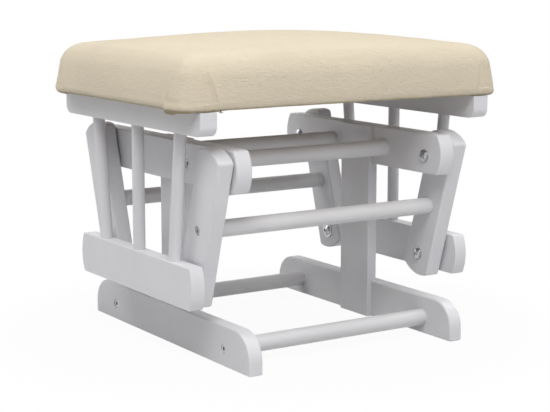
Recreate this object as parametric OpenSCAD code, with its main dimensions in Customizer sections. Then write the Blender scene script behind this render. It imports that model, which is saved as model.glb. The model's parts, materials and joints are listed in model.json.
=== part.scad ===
// Glider ottoman: a padded foot stool whose seat frame swings fore and aft on four wooden links.
// X runs across the stool, Y runs along its swing with the front at minus Y, and Z is up.
// The origin is on the floor, midway between the two sides and the two ends.

/* [Uprights] */
// Clear width between the two uprights
upright_gap = 279; // [250:1:320]
// Width of an upright, front to back
upright_w = 66.5; // [50:0.5:74]
// Thickness of an upright
upright_t = 15.5; // [13:0.5:20]
// Depth of the housing that takes an upright in a base rail
rail_housing = 8; // [4:0.5:11]
// Depth of the housing that takes an upright in a hanger arm
arm_housing = 9.6; // [6:0.1:12]

/* [Base rails] */
// Length of a base rail, front to back
base_rail_len = 418; // [390:1:460]
// Height of a base rail
base_rail_h = 51.5; // [46:0.5:60]
// Thickness of a base rail
base_rail_t = 19.5; // [16:0.5:24]
// Radius of the rounded top corners of a base rail
base_corner_r = 35; // [15:1:44]
// Distance of a base dowel from the end of the rail
base_dowel_end = 61.5; // [54:0.5:85]
// Height of the middle of a base dowel above the floor
base_dowel_z = 22.5; // [18:0.5:28]

/* [Hanger arms] */
// Length of a hanger arm beyond its hanger pivots
arm_end = 34; // [28:0.5:50]
// Height of a hanger arm
arm_h = 54; // [48:0.5:62]
// Thickness of a hanger arm
arm_t = 22.4; // [18:0.1:28]
// Radius of the bowed ends of a hanger arm
arm_bow_r = 44; // [34:1:120]
// Height of the hanger pivots above the lower edge of the arm
arm_pivot_h = 24; // [20:0.5:30]
// Distance of a stretcher from the middle of the arm
stretcher_y = 62; // [55:1:90]
// Rise of the stretchers above the hanger pivots
stretcher_rise = 2; // [0:0.5:6]

/* [Swing links] */
// Height of the hanger pivots above the floor
hanger_pivot_z = 243.5; // [230:0.5:270]
// Distance of a hanger pivot from the middle, front or back
hanger_pivot_y = 150.5; // [140:0.5:158]
// Height of the seat pivots above the floor
seat_pivot_z = 101.5; // [92:0.5:112]
// Distance of a seat pivot from the middle, front or back
seat_pivot_y = 108.5; // [100:0.5:120]
// Width of a link
link_w = 52; // [44:0.5:60]
// Thickness of a link
link_t = 22.4; // [18:0.1:28]
// Radius of the bowed ends of a link
link_bow_r = 46; // [32:1:120]
// Length of a front link beyond its hanger pivot
front_link_top_end = 31.5; // [24:0.5:38]
// Length of a front link beyond its seat pivot
front_link_low_end = 30; // [22:0.5:34]
// Length of a rear link beyond its hanger pivot
rear_link_top_end = 37; // [24:0.5:40]
// Length of a rear link beyond its seat pivot
rear_link_low_end = 26; // [20:0.5:34]
// Place of the front link dowel, as a share of the way from the hanger pivot to the seat pivot
front_dowel_share = 0.51; // [0.3:0.01:0.7]
// Place of the rear link dowel, as a share of the way from the hanger pivot to the seat pivot
rear_dowel_share = 0.48; // [0.3:0.01:0.7]
// Gap between a hanger arm and a link
arm_link_gap = 2; // [2:0.1:5]

/* [Seat rails] */
// Length of a lower seat rail beyond the seat pivots
lower_rail_end = 45; // [34:0.5:60]
// Height of a lower seat rail
lower_rail_h = 53.5; // [46:0.5:62]
// Radius of the bowed ends of a lower seat rail
lower_rail_bow_r = 58; // [34:1:120]
// Depth of a lower seat rail below the seat pivots
lower_rail_drop = 25; // [22:0.5:30]
// Length of a top seat rail
top_rail_len = 371; // [340:1:400]
// Height of a top seat rail
top_rail_h = 29.5; // [24:0.5:36]
// Radius of the rounded lower corners of a top seat rail
top_rail_corner_r = 12; // [4:0.5:20]
// Thickness of a lower seat rail
lower_rail_t = 19; // [17.5:0.5:28]
// Thickness of a top seat rail
top_rail_t = 23.5; // [18:0.5:30]
// Gap between a link and a lower seat rail
link_rail_gap = 4.8; // [4:0.1:9]
// Distance that the seat rails and the cushion stand forward of the middle
seat_forward = 3; // [0:0.5:6]

/* [Turned parts] */
// Diameter of the cross dowels and stretchers
dowel_d = 22; // [16:0.5:26]
// Depth of the sockets that take the dowels
dowel_socket = 8; // [5:0.5:9]
// Diameter of a spindle
spindle_d = 16; // [12:0.5:18]
// Length of a spindle that shows between the seat rails
spindle_rise = 163.5; // [150:0.5:190]
// Depth of the sockets that take the spindles
spindle_socket = 12; // [8:0.5:14]
// Distance of the outer spindles from the ends of the lower rail
spindle_low_end = 59; // [46:0.5:70]
// Distance of the outer spindles from the ends of the top rail
spindle_high_end = 73; // [50:0.5:90]

/* [Cushion] */
// Overhang of the cushion beyond the top rails at each side
cushion_side_over = 23.5; // [10:0.5:30]
// Overhang of the cushion beyond the top rails at each end
cushion_end_over = 2.2; // [2:0.1:20]
// Height of the cushion at its rim, from its underside
cushion_rim_h = 66; // [55:0.1:85]
// Further height of the cushion at the crown
cushion_crown = 18; // [6:0.1:25]
// Width of the rounded shoulder around the top of the cushion
shoulder_w = 30; // [20:1:40]
// Radius of the upright corners of the cushion
cushion_corner_r = 27; // [20:1:45]
// Thickness of the board under the cushion
seat_board_t = 12; // [9:0.5:15]

/* [Pivot hardware] */
// Diameter of the smooth shank of a pivot bolt
pivot_shank_d = 8; // [7:0.5:9]
// Diameter of the threaded end of a pivot bolt
pivot_thread_d = 6; // [5:0.5:6.5]
// Diameter of the head of a pivot bolt
pivot_head_d = 15; // [12:0.5:18]
// Diameter of the washer under the head of a pivot bolt
pivot_washer_d = 17; // [15:0.5:22]
// Diameter of the head of a dowel screw
screw_head_d = 11.6; // [9:0.2:13]

/* [Hidden] */
$fn = 64;

// Clearances: glued and pressed seats, running fits, and cloth against what carries it
seat_fit = 0.05;
run_fit = 0.05;
cloth_fit = 0.3;
// Overrun of every cutter beyond the face that it opens
overrun = 1;

// Places across the stool, from the middle outwards on the right side
upright_in_x = upright_gap / 2;
upright_out_x = upright_in_x + upright_t;
base_in_x = upright_out_x - rail_housing;
base_out_x = base_in_x + base_rail_t;
arm_in_x = upright_out_x - arm_housing;
arm_out_x = arm_in_x + arm_t;
link_in_x = arm_out_x + arm_link_gap;
link_out_x = link_in_x + link_t;
seat_in_x = link_out_x + link_rail_gap;
lower_rail_out_x = seat_in_x + lower_rail_t;
top_rail_out_x = seat_in_x + top_rail_t;
spindle_x = (seat_in_x + lower_rail_out_x) / 2;

// Places along the swing, from the middle
arm_len = 2 * (hanger_pivot_y + arm_end);
lower_rail_len = 2 * (seat_pivot_y + lower_rail_end);
base_dowel_y = base_rail_len / 2 - base_dowel_end;
spindle_low_y = lower_rail_len / 2 - spindle_low_end;
spindle_high_y = top_rail_len / 2 - spindle_high_end;

// Heights above the floor
arm_low_z = hanger_pivot_z - arm_pivot_h;
arm_top_z = arm_low_z + arm_h;
stretcher_z = hanger_pivot_z + stretcher_rise;
lower_rail_low_z = seat_pivot_z - lower_rail_drop;
lower_rail_top_z = lower_rail_low_z + lower_rail_h;
top_rail_low_z = lower_rail_top_z + spindle_rise;
top_rail_top_z = top_rail_low_z + top_rail_h;

// The links at rest: their slope and the distance between their two pivots
link_run = hanger_pivot_y - seat_pivot_y;
link_fall = hanger_pivot_z - seat_pivot_z;
link_splay = atan2(link_run, link_fall);
link_span = norm([link_run, link_fall]);

// Dowel screws: a flat head with a hexagon socket, let in below the face of the board
screw_head_h = 4;
screw_shank_d = 6;
screw_len = 45;
screw_recess = 0.8;
screw_socket_d = 5;
screw_socket_h = 2.5;
screw_rim_gap = 0.4;

// Pivot hardware: button head, washer, flanged bushing, spacer and threaded insert
head_h = 4.2;
head_rim_h = 1.2;
head_socket_d = 5;
head_socket_h = 2.4;
thread_len = 13;
washer_t = 1.6;
washer_bore_gap = 0.2;
bush_wall = 2;
bush_flange_w = 3;
arm_flange_t = 1.1;
link_flange_t = 1.6;
insert_wall = 2.4;
insert_len = 15;
insert_tip_gap = 0.5;
// Free play of the rear seat bolts in their bushings, which the closed linkage needs
rear_play = 3.7;

// Bores of the bushings
run_bore_d = pivot_shank_d + 2 * run_fit;
rear_bore_d = pivot_shank_d + 2 * rear_play;
// The washers of the rear seat bolts are wider, so that they cover the wide bushings
rear_washer_lap = 1.3;
rear_washer_d = rear_bore_d + 2 * bush_wall + 2 * rear_washer_lap;

// Board screws, driven up through the top rails
board_screw_y = 56;
board_screw_d = 4;
board_screw_head_d = 8;
board_screw_head_h = 2.4;
board_screw_sink = 10;
board_screw_bite = 7;

// Cushion
cover_t = 1.1;
hem_w = 22;
hem_edge_r = 10;
shoulder_h = 32;
side_lean = 3.7;
side_draw = 1.6;
corner_left_share = 0.2;
cushion_z = top_rail_top_z + cloth_fit;
cushion_half_x = top_rail_out_x + cushion_side_over;
cushion_half_y = top_rail_len / 2 + cushion_end_over;
cushion_rim_z = cushion_z + cushion_rim_h;
side_low_z = cushion_z + hem_edge_r;
side_high_z = cushion_rim_z - shoulder_h;
board_z = cushion_z + cover_t + cloth_fit;
board_top_z = board_z + seat_board_t;
board_inset = hem_edge_r + side_draw + cloth_fit;
foam_inset = cover_t + cloth_fit;
// Steps of the cushion surface: around a corner, along a side, over the shoulder, round the hem
corner_steps = 4;
side_steps = 5;
shoulder_steps = 4;
hem_steps = 3;
top_ring_shares = [0.8, 0.55, 0.28];
ring_n = 4 * (corner_steps + side_steps);

// Colours of the finishes
paint = [0.93, 0.93, 0.92];
fabric = [0.86, 0.81, 0.72];
foam = [0.93, 0.87, 0.62];
plywood = [0.80, 0.66, 0.47];
steel = [0.72, 0.73, 0.75];
nylon = [0.88, 0.88, 0.85];
brass = [0.78, 0.64, 0.34];

// Depth that a bow of this radius takes off a board of this width
function bow_depth(r, w) = r - sqrt(r * r - w * w / 4);

// Outlines, with Y to the right and Z up

module bowed_outline(len, w, bow_r) {
    depth = bow_depth(bow_r, w);
    square([len - 2 * depth, w], center = true);
    for (end = [-1, 1])
        intersection() {
            translate([end * (len / 2 - bow_r), 0]) circle(r = bow_r);
            translate([end * (len / 2 - depth), 0]) square([2 * depth + overrun, w], center = true);
        }
}

module rounded_top_outline(len, h, r) {
    intersection() {
        translate([-len / 2, 0]) square([len, h]);
        union() {
            translate([-len / 2, 0]) square([len, h - r]);
            translate([r - len / 2, 0]) square([len - 2 * r, h]);
            for (end = [-1, 1]) translate([end * (len / 2 - r), h - r]) circle(r = r);
        }
    }
}

module rounded_plan(half_x, half_y, r) {
    square(2 * [half_x - r, half_y], center = true);
    square(2 * [half_x, half_y - r], center = true);
    for (sx = [-1, 1], sy = [-1, 1]) translate([sx * (half_x - r), sy * (half_y - r)]) circle(r = r);
}

// Placing

module board(in_x, t) { translate([in_x, 0, 0]) rotate([90, 0, 90]) linear_extrude(t) children(); }
module along_x(x) { translate([x, 0, 0]) rotate([0, 90, 0]) children(); }
module rod(d, from_x, to_x) { along_x(from_x) cylinder(d = d, h = to_x - from_x); }
module left() { mirror([1, 0, 0]) children(); }
module rear() { mirror([0, 1, 0]) children(); }
module both_sides() { children(); left() children(); }
module both_ends() { children(); rear() children(); }
module forward() { translate([0, -seat_forward, 0]) children(); }
module at(y, z) { translate([0, y, z]) children(); }
// From here on the hanger pivot is the origin, and the link hangs straight down
module along_link() { at(-hanger_pivot_y, hanger_pivot_z) rotate([link_splay, 0, 0]) children(); }
module at_link_dowel(share) { along_link() at(0, -share * link_span) children(); }
module at_hanger_pivot() { at(-hanger_pivot_y, hanger_pivot_z) children(); }
module at_seat_pivot() { at(-seat_pivot_y, seat_pivot_z) children(); }
module at_base_dowel() { at(-base_dowel_y, base_dowel_z) children(); }
module at_stretcher() { at(-stretcher_y, stretcher_z) children(); }

// Dowels and their screws, on the X axis

module cross_dowel(in_x) {
    end_x = in_x + dowel_socket - seat_fit;
    bottom_x = in_x + dowel_socket - screw_len;
    difference() {
        rod(dowel_d, -end_x, end_x);
        both_sides() rod(screw_shank_d + 2 * seat_fit, bottom_x, end_x + overrun);
    }
}

module dowel_joint_cut(in_x, out_x) {
    head_x = out_x - screw_recess - screw_head_h - seat_fit;
    rod(dowel_d + 2 * seat_fit, in_x - overrun, in_x + dowel_socket);
    rod(screw_shank_d + 2 * seat_fit, in_x, out_x);
    rod(screw_head_d + 2 * screw_rim_gap, head_x, out_x + overrun);
}

module dowel_screw(in_x, out_x) {
    tip_x = in_x + dowel_socket - screw_len + overrun;
    top_x = out_x - screw_recess;
    difference() {
        union() {
            rod(screw_head_d, top_x - screw_head_h, top_x);
            rod(screw_shank_d, tip_x, top_x);
        }
        along_x(top_x - screw_socket_h)
            cylinder(d = screw_socket_d / cos(30), h = screw_socket_h + overrun, $fn = 6);
    }
}

// Pivot hardware, on the X axis: in_x and out_x are the faces of the board that turns on the bolt,
// and next_x is the face of the board that the bolt is screwed into

module pivot_bolt(in_x, next_x) {
    seat_x = in_x - run_fit - washer_t;
    dome_h = head_h - head_rim_h;
    dome_r = (pivot_head_d * pivot_head_d / 4 + dome_h * dome_h) / (2 * dome_h);
    difference() {
        union() {
            intersection() {
                along_x(seat_x - head_h + dome_r) sphere(r = dome_r);
                rod(pivot_head_d, seat_x - head_h, seat_x);
            }
            rod(pivot_shank_d, seat_x - head_rim_h, next_x);
            rod(pivot_thread_d, seat_x - head_rim_h, next_x + thread_len);
        }
        along_x(seat_x - head_h - overrun)
            cylinder(d = head_socket_d / cos(30), h = head_socket_h + overrun, $fn = 6);
    }
}

module pivot_washer(in_x, washer_d) {
    difference() {
        rod(washer_d, in_x - run_fit - washer_t, in_x - run_fit);
        rod(pivot_shank_d + 2 * washer_bore_gap, in_x - run_fit - washer_t - overrun, in_x + overrun);
    }
}

module pivot_bushing(in_x, out_x, bore_d, flange_t) {
    sleeve_d = bore_d + 2 * bush_wall;
    difference() {
        union() {
            rod(sleeve_d, in_x, out_x + flange_t);
            rod(sleeve_d + 2 * bush_flange_w, out_x, out_x + flange_t);
        }
        rod(bore_d, in_x - overrun, out_x + flange_t + overrun);
    }
}

module bushing_cut(in_x, out_x, bore_d) {
    rod(bore_d + 2 * bush_wall + 2 * seat_fit, in_x - overrun, out_x + overrun);
}

module pivot_spacer(out_x, next_x, flange_t) {
    spacer_d = rear_bore_d + 2 * bush_wall;
    difference() {
        rod(spacer_d, out_x + flange_t + run_fit, next_x);
        rod(pivot_shank_d + 2 * washer_bore_gap, out_x, next_x + overrun);
    }
}

module threaded_insert(next_x) {
    difference() {
        rod(pivot_thread_d + 2 * insert_wall, next_x, next_x + insert_len);
        rod(pivot_thread_d + 2 * seat_fit, next_x - overrun, next_x + insert_len + overrun);
    }
}

module insert_cut(next_x) {
    end_x = next_x + insert_len + insert_tip_gap;
    rod(pivot_thread_d + 2 * insert_wall + 2 * seat_fit, next_x - overrun, end_x);
}

// Boards of the right side

module base_rail() {
    difference() {
        board(base_in_x, base_rail_t) rounded_top_outline(base_rail_len, base_rail_h, base_corner_r);
        upright_cut(base_in_x, -overrun, base_rail_h + overrun);
        both_ends() at_base_dowel() dowel_joint_cut(base_in_x, base_out_x);
    }
}

module upright_cut(in_x, low_z, high_z) {
    half_w = upright_w / 2 + seat_fit;
    translate([in_x - overrun, -half_w, low_z])
        cube([upright_out_x + seat_fit - in_x + overrun, 2 * half_w, high_z - low_z]);
}

module upright() {
    translate([upright_in_x, -upright_w / 2, 0]) cube([upright_t, upright_w, arm_top_z]);
}

module hanger_arm() {
    difference() {
        board(arm_in_x, arm_t) translate([0, arm_low_z + arm_h / 2]) bowed_outline(arm_len, arm_h, arm_bow_r);
        upright_cut(arm_in_x, arm_low_z - overrun, arm_top_z + overrun);
        both_ends() {
            at_hanger_pivot() bushing_cut(arm_in_x, arm_out_x, run_bore_d);
            at_stretcher() dowel_joint_cut(arm_in_x, arm_out_x);
        }
    }
}

module link(top_end, low_end, dowel_share, seat_bore_d) {
    link_len = top_end + link_span + low_end;
    difference() {
        along_link() board(link_in_x, link_t)
            translate([0, top_end - link_len / 2]) rotate(90) bowed_outline(link_len, link_w, link_bow_r);
        at_hanger_pivot() insert_cut(link_in_x);
        at_seat_pivot() bushing_cut(link_in_x, link_out_x, seat_bore_d);
        at_link_dowel(dowel_share) dowel_joint_cut(link_in_x, link_out_x);
    }
}

module front_link() { link(front_link_top_end, front_link_low_end, front_dowel_share, run_bore_d); }
module rear_link() { rear() link(rear_link_top_end, rear_link_low_end, rear_dowel_share, rear_bore_d); }
module link_dowel(dowel_share) { color(paint) at_link_dowel(dowel_share) cross_dowel(link_in_x); }
module link_screws(dowel_share) {
    color(steel) at_link_dowel(dowel_share) both_sides() dowel_screw(link_in_x, link_out_x);
}

module lower_rail() {
    difference() {
        board(seat_in_x, lower_rail_t)
            translate([-seat_forward, lower_rail_low_z + lower_rail_h / 2])
                bowed_outline(lower_rail_len, lower_rail_h, lower_rail_bow_r);
        both_ends() at_seat_pivot() insert_cut(seat_in_x);
        spindle_cuts();
    }
}

module top_rail() {
    difference() {
        board(seat_in_x, top_rail_t)
            translate([-seat_forward, top_rail_top_z]) mirror([0, 1])
                rounded_top_outline(top_rail_len, top_rail_h, top_rail_corner_r);
        spindle_cuts();
        at_board_screws() {
            cylinder(d = board_screw_d + 2 * seat_fit, h = top_rail_h + overrun);
            translate([0, 0, -overrun])
                cylinder(d = board_screw_head_d + 2 * screw_rim_gap, h = board_screw_sink + overrun);
        }
    }
}

// A straight bar on the axis of a spindle: place is -1 for the front one, 0 for the middle, 1 for the rear
module spindle_bar(place, d, reach) {
    run = place * (spindle_high_y - spindle_low_y);
    slope = atan2(run, spindle_rise);
    len = norm([run, spindle_rise]);
    forward() translate([spindle_x, place * spindle_low_y, lower_rail_top_z])
        rotate([-slope, 0, 0]) translate([0, 0, -reach]) cylinder(d = d, h = len + 2 * reach);
}

module spindle_cuts() {
    for (place = [-1, 0, 1]) spindle_bar(place, spindle_d + 2 * seat_fit, spindle_socket);
}

module spindle(place) { color(paint) spindle_bar(place, spindle_d, spindle_socket - seat_fit); }

// Cushion

module at_board_screws() {
    forward() both_ends() translate([spindle_x, -board_screw_y, top_rail_low_z]) children();
}

module board_screws() {
    head_z = board_screw_sink - board_screw_head_h;
    tip_z = board_z - top_rail_low_z + board_screw_bite;
    at_board_screws() {
        translate([0, 0, head_z]) cylinder(d = board_screw_head_d, h = board_screw_head_h);
        translate([0, 0, head_z]) cylinder(d = board_screw_d, h = tip_z - head_z);
    }
}

module board_blank() {
    half_x = cushion_half_x - board_inset;
    half_y = cushion_half_y - board_inset;
    translate([0, -seat_forward, board_z]) linear_extrude(seat_board_t)
        rounded_plan(half_x, half_y, corner_at(board_inset));
}

// A ring of points around the cushion, drawn in a little midway between the corners
function arc_points(cx, cy, r, start) =
    [for (i = [0:corner_steps]) let (a = start + 90 * i / corner_steps) [cx + r * cos(a), cy + r * sin(a)]];
function between(p, q) = [for (i = [1:side_steps - 1]) p + (q - p) * i / side_steps];
function plan_ring(half_x, half_y, r) =
    let (
        cx = half_x - r,
        cy = half_y - r,
        arcs = [
            arc_points(cx, cy, r, 0), arc_points(-cx, cy, r, 90),
            arc_points(-cx, -cy, r, 180), arc_points(cx, -cy, r, 270)
        ]
    )
    [for (k = [0:3]) each concat(arcs[k], between(arcs[k][corner_steps], arcs[(k + 1) % 4][0]))];
function fall_off(v, half) = 1 - (v / half) ^ 2;
function drawn_in(p) = [
    p.x * (1 - side_draw / cushion_half_x * fall_off(p.y, cushion_half_y)),
    p.y * (1 - side_draw / cushion_half_y * fall_off(p.x, cushion_half_x))
];
function crown_at(p) = cushion_crown * fall_off(p.x, cushion_half_x) * fall_off(p.y, cushion_half_y);
function corner_at(inset) =
    cushion_corner_r * (1 - (1 - corner_left_share) * min(1, inset / (side_lean + shoulder_w)));

// Rings are given as [inset from the rim, height, share of the crown that applies]
function ring_points(row) = [
    for (p = plan_ring(cushion_half_x - row[0], cushion_half_y - row[0], corner_at(row[0])))
        let (q = drawn_in(p)) [q.x, q.y, row[1] + row[2] * crown_at(q)]
];
function hem_rows(g) = [
    [hem_w, cushion_z + g, 0],
    for (i = [0:hem_steps]) let (a = 90 * i / hem_steps, r = hem_edge_r - g)
        [hem_edge_r - r * sin(a), cushion_z + hem_edge_r - r * cos(a), 0]
];
// Inset of the leaning side at a height between the hem and the shoulder
function side_inset(z, g) = g + side_lean * (z - side_low_z) / (side_high_z - side_low_z);
function shoulder_rows(g) = [
    for (i = [0:shoulder_steps]) let (a = 90 * i / shoulder_steps)
        [
            side_lean + shoulder_w - (shoulder_w - g) * cos(a),
            side_high_z + (shoulder_h - g) * sin(a),
            sin(a)
        ]
];
function top_points(g) =
    let (last = ring_points([side_lean + shoulder_w, 0, 0]))
    [
        for (share = top_ring_shares, p = last)
            [share * p.x, share * p.y, cushion_rim_z - g + crown_at(share * p)],
        [0, 0, cushion_rim_z - g + cushion_crown]
    ];
function skin_points(rows, g) = concat([for (row = rows) each ring_points(row)], top_points(g));

// Triangles between rings of points, and from the last ring to the point in its middle
function band_faces(low, high) = [
    for (j = [0:ring_n - 1]) let (k = (j + 1) % ring_n)
        each [[low + j, high + j, low + k], [low + k, high + j, high + k]]
];
function cap_faces(ring, middle) = [for (j = [0:ring_n - 1]) [ring + j, middle, ring + (j + 1) % ring_n]];
function skin_faces(first, rings) = concat(
    [for (i = [0:rings - 2]) each band_faces(first + i * ring_n, first + (i + 1) * ring_n)],
    cap_faces(first + (rings - 1) * ring_n, first + rings * ring_n)
);
function turned(faces) = [for (f = faces) [f[0], f[2], f[1]]];

module left_base_rail() { color(paint) left() base_rail(); }
module right_base_rail() { color(paint) base_rail(); }
module left_upright() { color(paint) left() upright(); }
module right_upright() { color(paint) upright(); }
module left_hanger_arm() { color(paint) left() hanger_arm(); }
module right_hanger_arm() { color(paint) hanger_arm(); }
module front_base_dowel() { color(paint) at_base_dowel() cross_dowel(base_in_x); }
module rear_base_dowel() { rear() front_base_dowel(); }
module front_stretcher() { color(paint) at_stretcher() cross_dowel(arm_in_x); }
module rear_stretcher() { rear() front_stretcher(); }
module base_dowel_screws() {
    color(steel) both_ends() at_base_dowel() both_sides() dowel_screw(base_in_x, base_out_x);
}
module stretcher_screws() {
    color(steel) both_ends() at_stretcher() both_sides() dowel_screw(arm_in_x, arm_out_x);
}
module hanger_bushings() {
    color(nylon) both_ends() at_hanger_pivot() both_sides()
        pivot_bushing(arm_in_x, arm_out_x, run_bore_d, arm_flange_t);
}

module front_left_link() { color(paint) left() front_link(); }
module front_right_link() { color(paint) front_link(); }
module front_link_dowel() { link_dowel(front_dowel_share); }
module front_link_screws() { link_screws(front_dowel_share); }
module front_hanger_bolts() { color(steel) at_hanger_pivot() both_sides() pivot_bolt(arm_in_x, link_in_x); }
module front_hanger_washers() {
    color(steel) at_hanger_pivot() both_sides() pivot_washer(arm_in_x, pivot_washer_d);
}
module front_hanger_spacers() {
    color(nylon) at_hanger_pivot() both_sides() pivot_spacer(arm_out_x, link_in_x, arm_flange_t);
}
module front_link_inserts() { color(brass) at_hanger_pivot() both_sides() threaded_insert(link_in_x); }
module front_seat_bushings() {
    color(nylon) at_seat_pivot() both_sides() pivot_bushing(link_in_x, link_out_x, run_bore_d, link_flange_t);
}

module rear_left_link() { color(paint) left() rear_link(); }
module rear_right_link() { color(paint) rear_link(); }
module rear_link_dowel() { rear() link_dowel(rear_dowel_share); }
module rear_link_screws() { rear() link_screws(rear_dowel_share); }
module rear_hanger_bolts() { rear() front_hanger_bolts(); }
module rear_hanger_washers() { rear() front_hanger_washers(); }
module rear_hanger_spacers() { rear() front_hanger_spacers(); }
module rear_link_inserts() { rear() front_link_inserts(); }
module rear_seat_bushings() {
    color(nylon) rear() at_seat_pivot() both_sides()
        pivot_bushing(link_in_x, link_out_x, rear_bore_d, link_flange_t);
}

module left_lower_rail() { color(paint) left() lower_rail(); }
module right_lower_rail() { color(paint) lower_rail(); }
module left_top_rail() { color(paint) left() top_rail(); }
module right_top_rail() { color(paint) top_rail(); }
module left_front_spindle() { left() spindle(-1); }
module left_middle_spindle() { left() spindle(0); }
module left_rear_spindle() { left() spindle(1); }
module right_front_spindle() { spindle(-1); }
module right_middle_spindle() { spindle(0); }
module right_rear_spindle() { spindle(1); }
module at_seat_pivots() { both_ends() at_seat_pivot() both_sides() children(); }
module seat_bolts() { color(steel) at_seat_pivots() pivot_bolt(link_in_x, seat_in_x); }
module seat_washers() {
    color(steel) at_seat_pivot() both_sides() pivot_washer(link_in_x, pivot_washer_d);
    color(steel) rear() at_seat_pivot() both_sides() pivot_washer(link_in_x, rear_washer_d);
}
module seat_spacers() { color(nylon) at_seat_pivots() pivot_spacer(link_out_x, seat_in_x, link_flange_t); }
module seat_rail_inserts() { color(brass) at_seat_pivots() threaded_insert(seat_in_x); }

module seat_board() {
    bore_h = board_z - top_rail_low_z + board_screw_bite + seat_fit;
    color(plywood) difference() {
        board_blank();
        both_sides() at_board_screws() cylinder(d = board_screw_d + 2 * seat_fit, h = bore_h);
    }
}
module seat_board_screws() { color(steel) both_sides() board_screws(); }
module seat_foam() {
    low = board_top_z + seat_fit;
    rows = concat([[side_inset(low, foam_inset), low, 0]], shoulder_rows(foam_inset));
    rings = len(rows) + len(top_ring_shares);
    points = concat(skin_points(rows, foam_inset), [[0, 0, low]]);
    faces = concat(skin_faces(0, rings), turned(cap_faces(0, len(points) - 1)));
    color(foam) forward() polyhedron(points, faces);
}
module cushion_cover() {
    outer_rows = concat(hem_rows(0), shoulder_rows(0));
    inner_rows = concat(hem_rows(cover_t), shoulder_rows(cover_t));
    rings = len(outer_rows) + len(top_ring_shares);
    outer = skin_points(outer_rows, 0);
    inner = skin_points(inner_rows, cover_t);
    first = len(outer);
    faces = concat(skin_faces(0, rings), turned(skin_faces(first, rings)), turned(band_faces(0, first)));
    color(fabric) forward() polyhedron(concat(outer, inner), faces);
}

left_base_rail();
right_base_rail();
left_upright();
right_upright();
left_hanger_arm();
right_hanger_arm();
front_base_dowel();
rear_base_dowel();
front_stretcher();
rear_stretcher();
base_dowel_screws();
stretcher_screws();
hanger_bushings();
front_left_link();
front_right_link();
front_link_dowel();
front_link_screws();
front_hanger_bolts();
front_hanger_washers();
front_hanger_spacers();
front_link_inserts();
front_seat_bushings();
rear_left_link();
rear_right_link();
rear_link_dowel();
rear_link_screws();
rear_hanger_bolts();
rear_hanger_washers();
rear_hanger_spacers();
rear_link_inserts();
rear_seat_bushings();
left_lower_rail();
right_lower_rail();
left_top_rail();
right_top_rail();
left_front_spindle();
left_middle_spindle();
left_rear_spindle();
right_front_spindle();
right_middle_spindle();
right_rear_spindle();
seat_bolts();
seat_washers();
seat_spacers();
seat_rail_inserts();
seat_board();
seat_board_screws();
seat_foam();
cushion_cover();
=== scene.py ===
# %% [markdown]
# # A glider ottoman
#
# The object is a padded foot stool. Its seat frame hangs on four wooden links, so it glides fore
# and aft over a fixed base. The construction comes in as a frame: every board, dowel and bolt is
# already there at its real size and place. This lesson gives each of them its looks: eased edges
# and satin paint on the wood, bright zinc on the bolts, and a soft padded cushion in cream cloth.
#
# Everything is in metres, X across the stool, Y along the glide with the front at minus Y, Z up.

# %% Load the frame
import json
import math

import bmesh
import bpy
import numpy as np
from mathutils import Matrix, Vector, noise
from mathutils.bvhtree import BVHTree


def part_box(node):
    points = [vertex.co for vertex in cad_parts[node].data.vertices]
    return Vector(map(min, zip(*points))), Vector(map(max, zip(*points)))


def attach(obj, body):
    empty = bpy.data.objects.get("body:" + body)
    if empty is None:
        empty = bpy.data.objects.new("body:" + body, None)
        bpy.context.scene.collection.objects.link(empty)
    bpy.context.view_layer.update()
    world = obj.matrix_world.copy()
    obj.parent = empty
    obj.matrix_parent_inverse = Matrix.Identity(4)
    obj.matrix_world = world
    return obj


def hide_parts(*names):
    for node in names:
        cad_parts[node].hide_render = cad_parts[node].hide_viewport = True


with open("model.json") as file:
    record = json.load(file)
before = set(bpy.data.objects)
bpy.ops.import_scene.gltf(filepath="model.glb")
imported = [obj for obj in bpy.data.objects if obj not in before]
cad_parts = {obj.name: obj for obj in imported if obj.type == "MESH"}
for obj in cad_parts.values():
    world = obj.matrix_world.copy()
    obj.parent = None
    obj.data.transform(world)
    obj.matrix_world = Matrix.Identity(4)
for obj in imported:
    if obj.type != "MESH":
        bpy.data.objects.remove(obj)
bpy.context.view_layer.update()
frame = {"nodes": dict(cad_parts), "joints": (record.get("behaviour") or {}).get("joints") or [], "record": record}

MM = 0.001
BODIES = frame["record"]["behaviour"]["bodies"]
BODY_OF = {node: body for body, nodes in BODIES.items() for node in nodes}
SLOT_OF = {row["node"]: row["material_slot"] for row in frame["record"]["subparts"]}

# %% [markdown]
# ## The camera
#
# The photograph was taken from a little above the seat and well to the left of the front, so the
# camera is set by the angles that it looks along: how far round the stool, and how far above the
# floor. A long lens from two metres away keeps the far rails nearly as large as the near ones, as
# product photographs do.

# %% Set up the camera
VIEW_AZIMUTH = math.radians(-32.8)
VIEW_ELEVATION = math.radians(9.295)
VIEW_DISTANCE = 2.0049
VIEW_TARGET = Vector((0.0009, -0.0067, 0.1684))
LENS_MM = 95.744
SENSOR_MM = 36.0


def new_object(name, data):
    """An object in the scene for this camera, lamp, mesh or curve."""
    made = bpy.data.objects.new(name, data)
    bpy.context.scene.collection.objects.link(made)
    return made


camera = new_object("camera", bpy.data.cameras.new("camera"))
line_of_sight = Vector((math.sin(VIEW_AZIMUTH) * math.cos(VIEW_ELEVATION),
                        -math.cos(VIEW_AZIMUTH) * math.cos(VIEW_ELEVATION),
                        math.sin(VIEW_ELEVATION)))
camera.location = VIEW_TARGET + line_of_sight * VIEW_DISTANCE
camera.rotation_mode = "QUATERNION"
camera.rotation_quaternion = (-line_of_sight).to_track_quat("-Z", "Y")
camera.data.lens = LENS_MM
camera.data.sensor_width = SENSOR_MM
bpy.context.scene.camera = camera
print("camera at", [round(v, 3) for v in camera.location])

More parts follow.
